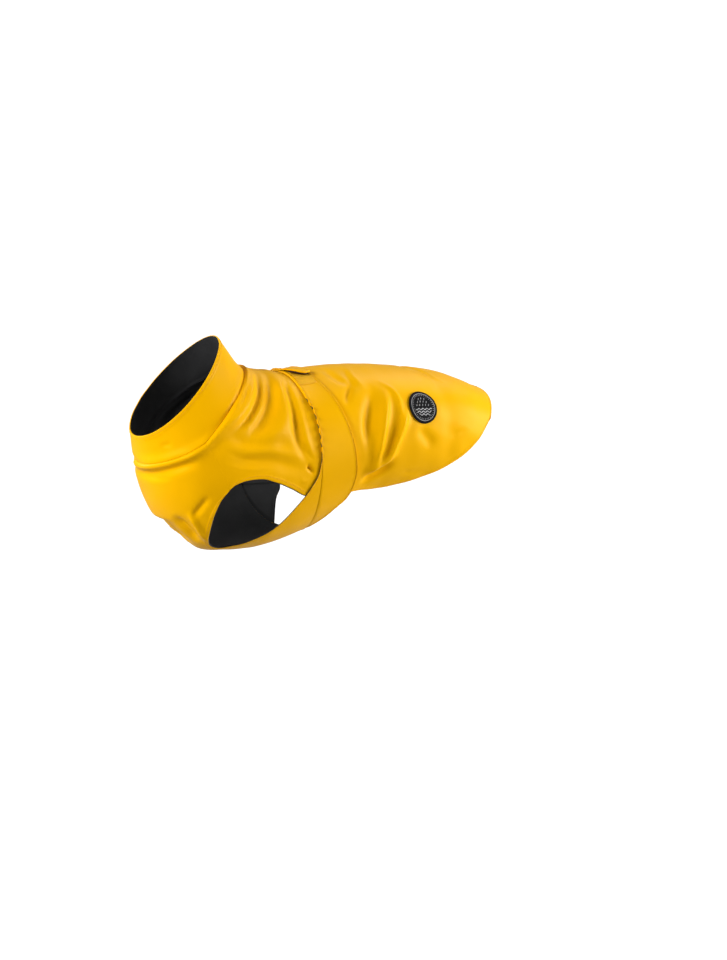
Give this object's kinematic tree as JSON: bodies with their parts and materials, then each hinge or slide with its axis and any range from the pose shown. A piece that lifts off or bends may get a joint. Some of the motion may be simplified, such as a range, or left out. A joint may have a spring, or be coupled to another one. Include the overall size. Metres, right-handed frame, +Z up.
{
  "type": "dog raincoat",
  "caption": "Hollow worn dog raincoat with stand-up collar, armholes, chest and belly panel and strap wings that close over the back.",
  "frame": {"origin": "on the outer face of the back's cloth, in the middle plane under the strap, where the coat lies on the wearer's back", "axes": "+X to the rear hem, -Y to the wearer's left side, +Z up"},
  "size_m": [0.5659, 0.2313, 0.2985],
  "materials": {
    "coated_cloth": "smooth rubberised yellow cloth, soft sheen, fine weave",
    "fastener_tape": "matt pale yellow loop tape",
    "badge_rubber": "matt black moulded rubber with pale grey inlay"
  },
  "bodies": {
    "root": {"collar": "coated_cloth", "back_panel": "coated_cloth", "underside_panel": "coated_cloth", "wing_left": "coated_cloth", "wing_right": "coated_cloth", "fastener_loop": "fastener_tape", "fastener_hook": "fastener_tape", "badge": "badge_rubber"}
  },
  "joints": []
}
